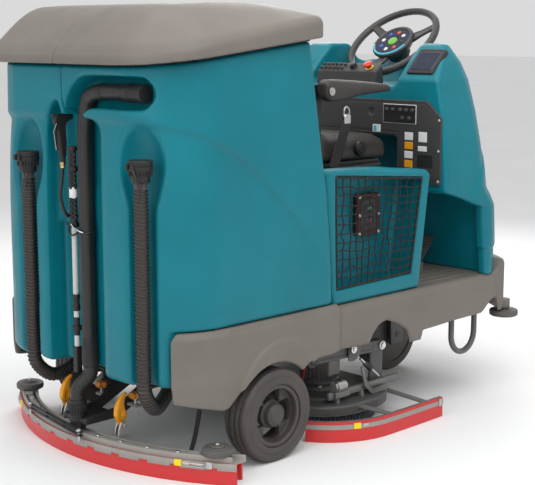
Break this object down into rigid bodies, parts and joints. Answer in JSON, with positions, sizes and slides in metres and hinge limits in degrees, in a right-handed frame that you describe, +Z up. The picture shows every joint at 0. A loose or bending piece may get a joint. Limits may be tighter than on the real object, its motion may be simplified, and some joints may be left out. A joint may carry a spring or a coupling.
{
  "type": "ride-on floor scrubber",
  "caption": "Ride-on floor scrubber with disc scrub head, curved rear squeegee, recovery and solution tanks, seat and steering console.",
  "frame": {"origin": "centre of the bounding box in plan, on the floor", "axes": "-Y is forward, -X is the driver's right side, +Z is up"},
  "size_m": [1.182, 1.904, 1.4684],
  "materials": {
    "frame_black": "powder-coated satin",
    "teal_body": "rotomoulded, fine texture",
    "grey_cover": "rotomoulded, fine texture",
    "gasket": "matt",
    "dark_plastic": "textured",
    "panel_grey": "textured",
    "black_rubber": "matt",
    "tyre_brown": "non-marking",
    "rim_brown": "moulded nylon",
    "steel_zinc": "zinc plated",
    "steel_grey": "painted",
    "cast_grey": "cast, satin",
    "blade_red": "urethane",
    "seat_vinyl": "vinyl",
    "webbing": "woven",
    "bristle": "nylon bristle",
    "battery_case": "moulded",
    "lever_amber": "moulded nylon",
    "stop_red": "moulded",
    "horn_green": "moulded",
    "wand_grey": "extruded tube"
  },
  "bodies": {
    "chassis": {"frame": "frame_black", "running_board": "grey_cover", "rear_skirts": "grey_cover", "recovery_tank": "teal_body", "solution_tank": "teal_body", "solution_cover": "grey_cover", "lid_gasket": "gasket", "vacuum_fan": "steel_grey", "seat_base": "teal_body", "batteries": "battery_case", "side_nets": "webbing", "charger_panel": "dark_plastic", "console_cowl": "teal_body", "console_panel": "panel_grey", "instrument_cluster": "panel_grey", "steering_column": "dark_plastic", "rear_axle": "steel_zinc", "tie_down_loops": "steel_grey", "suction_hose": "black_rubber", "suction_hose_flex": "black_rubber", "drain_hoses": "black_rubber", "drain_caps": "black_rubber", "spray_hose": "black_rubber", "spray_gun": "dark_plastic", "wand": "wand_grey"},
    "lid": {"recovery_lid": "grey_cover"},
    "steering": {"steering_wheel": "black_rubber"},
    "horn": {"horn_button": "horn_green"},
    "speed": {"speed_knob": "dark_plastic"},
    "stop": {"emergency_stop": "stop_red"},
    "fork": {"drive_fork": "steel_grey"},
    "front_wheel": {"front_tyre": "tyre_brown", "front_hub": "steel_zinc"},
    "wheel_right": {"rear_tyre_right": "tyre_brown", "rear_rim_right": "rim_brown"},
    "wheel_left": {"rear_tyre_left": "tyre_brown", "rear_rim_left": "rim_brown"},
    "roller_right": {"front_roller_right": "tyre_brown"},
    "roller_left": {"front_roller_left": "tyre_brown"},
    "seat": {"seat_slide": "frame_black", "seat_cushion": "seat_vinyl", "seat_back": "seat_vinyl", "seat_belt": "webbing"},
    "arm_right": {"armrest_right": "seat_vinyl"},
    "arm_left": {"armrest_left": "seat_vinyl"},
    "accelerator": {"accelerator_pedal": "black_rubber"},
    "brake": {"brake_pedal": "black_rubber"},
    "lift": {"lift_arms": "steel_grey"},
    "head": {"scrub_deck": "steel_grey", "side_squeegees": "blade_red"},
    "brush_r": {"brush_right": "bristle"},
    "brush_l": {"brush_left": "bristle"},
    "squeegee_lift": {"squeegee_arm": "frame_black"},
    "squeegee": {"squeegee_frame": "cast_grey", "squeegee_blades": "blade_red"},
    "end_roller_right": {"squeegee_roller_right": "tyre_brown"},
    "end_roller_left": {"squeegee_roller_left": "tyre_brown"},
    "lever_right": {"toggle_lever_right": "lever_amber"},
    "lever_left": {"toggle_lever_left": "lever_amber"},
    "trigger": {"spray_trigger": "steel_zinc"}
  },
  "joints": [
    {"name": "lid_hinge", "type": "hinge", "parent": "chassis", "child": "lid", "pos_m": [-0.24, 0.277, 1.332], "axis": [1, 0, 0], "range_deg": [0, 70]},
    {"name": "steering_turn", "type": "hinge", "parent": "chassis", "child": "steering", "pos_m": [0, -0.668, 1.332], "axis": [0, 0.6561, 0.7547], "range_deg": [-320, 320]},
    {"name": "horn_press", "type": "slide", "parent": "steering", "child": "horn", "axis": [0, 0.6561, 0.7547], "range_m": [-0.004, 0], "stiffness_N_per_m": 400},
    {"name": "speed_turn", "type": "hinge", "parent": "chassis", "child": "speed", "pos_m": [0.02, -0.458, 1.236], "axis": [0, 0.5446, 0.8387], "range_deg": [-135, 135]},
    {"name": "stop_press", "type": "slide", "parent": "chassis", "child": "stop", "axis": [0, 0.5446, 0.8387], "range_m": [-0.005, 0]},
    {"name": "fork_steer", "type": "hinge", "parent": "chassis", "child": "fork", "pos_m": [0, -0.648, 0.15], "axis": [0, 0, 1], "range_deg": [-80, 80]},
    {"name": "front_wheel_roll", "type": "hinge", "parent": "fork", "child": "front_wheel", "pos_m": [0, -0.648, 0.15], "axis": [1, 0, 0], "continuous": true},
    {"name": "right_wheel_roll", "type": "hinge", "parent": "chassis", "child": "wheel_right", "pos_m": [-0.467, 0.482, 0.152], "axis": [1, 0, 0], "continuous": true},
    {"name": "left_wheel_roll", "type": "hinge", "parent": "chassis", "child": "wheel_left", "pos_m": [0.467, 0.482, 0.152], "axis": [1, 0, 0], "continuous": true},
    {"name": "front_roller_right_spin", "type": "hinge", "parent": "chassis", "child": "roller_right", "pos_m": [-0.468, -0.811, 0.284], "axis": [0, 0, 1], "continuous": true},
    {"name": "front_roller_left_spin", "type": "hinge", "parent": "chassis", "child": "roller_left", "pos_m": [0.468, -0.811, 0.284], "axis": [0, 0, 1], "continuous": true},
    {"name": "seat_travel", "type": "slide", "parent": "chassis", "child": "seat", "axis": [0, 1, 0], "range_m": [0, 0.06]},
    {"name": "armrest_right_fold", "type": "hinge", "parent": "seat", "child": "arm_right", "pos_m": [-0.289, 0.03, 1.168], "axis": [1, 0, 0], "range_deg": [-85, 0]},
    {"name": "armrest_left_fold", "type": "hinge", "parent": "seat", "child": "arm_left", "pos_m": [0.289, 0.03, 1.168], "axis": [1, 0, 0], "range_deg": [-85, 0]},
    {"name": "accelerator_press", "type": "hinge", "parent": "chassis", "child": "accelerator", "pos_m": [-0.21, -0.558, 0.479], "axis": [1, 0, 0], "range_deg": [0, 14], "stiffness_Nm_per_rad": 8, "springref_deg": -11.46},
    {"name": "brake_press", "type": "hinge", "parent": "chassis", "child": "brake", "pos_m": [-0.09, -0.558, 0.479], "axis": [1, 0, 0], "range_deg": [0, 12], "stiffness_Nm_per_rad": 14, "springref_deg": -11.46},
    {"name": "head_lift", "type": "hinge", "parent": "chassis", "child": "lift", "pos_m": [0, 0.214, 0.268], "axis": [1, 0, 0], "range_deg": [-10, 0]},
    {"name": "head_level", "type": "hinge", "parent": "lift", "child": "head", "pos_m": [0, -0.15, 0.256], "axis": [1, 0, 0], "range_deg": [0, 10]},
    {"name": "brush_right_spin", "type": "hinge", "parent": "head", "child": "brush_r", "pos_m": [-0.226, -0.008, 0.05], "axis": [0, 0, 1], "continuous": true},
    {"name": "brush_left_spin", "type": "hinge", "parent": "head", "child": "brush_l", "pos_m": [0.226, -0.008, 0.05], "axis": [0, 0, 1], "continuous": true},
    {"name": "squeegee_lift", "type": "hinge", "parent": "chassis", "child": "squeegee_lift", "pos_m": [0, 0.61, 0.214], "axis": [1, 0, 0], "range_deg": [0, 9], "deforming": ["suction_hose_flex"]},
    {"name": "squeegee_swivel", "type": "hinge", "parent": "squeegee_lift", "child": "squeegee", "pos_m": [0, 0.8965, 0.084], "axis": [0, 0, 1], "range_deg": [-4, 4], "deforming": ["suction_hose_flex"]},
    {"name": "end_roller_right_spin", "type": "hinge", "parent": "squeegee", "child": "end_roller_right", "pos_m": [-0.512, 0.744, 0.098], "axis": [0, 0, 1], "continuous": true},
    {"name": "end_roller_left_spin", "type": "hinge", "parent": "squeegee", "child": "end_roller_left", "pos_m": [0.512, 0.744, 0.098], "axis": [0, 0, 1], "continuous": true},
    {"name": "lever_right_throw", "type": "hinge", "parent": "squeegee", "child": "lever_right", "pos_m": [-0.15, 0.834, 0.12], "axis": [1, 0, 0], "range_deg": [0, 55]},
    {"name": "lever_left_throw", "type": "hinge", "parent": "squeegee", "child": "lever_left", "pos_m": [0.15, 0.834, 0.12], "axis": [1, 0, 0], "range_deg": [0, 55]},
    {"name": "trigger_squeeze", "type": "hinge", "parent": "chassis", "child": "trigger", "pos_m": [0.046, 0.912, 1.076], "axis": [1, 0, 0], "range_deg": [-9, 0], "stiffness_Nm_per_rad": 0.3, "springref_deg": 17.19}
  ],
  "couplings": [
    {"joint": "fork_steer", "follows": "steering_turn", "ratio": 0.25},
    {"joint": "head_level", "follows": "head_lift", "ratio": -1}
  ]
}
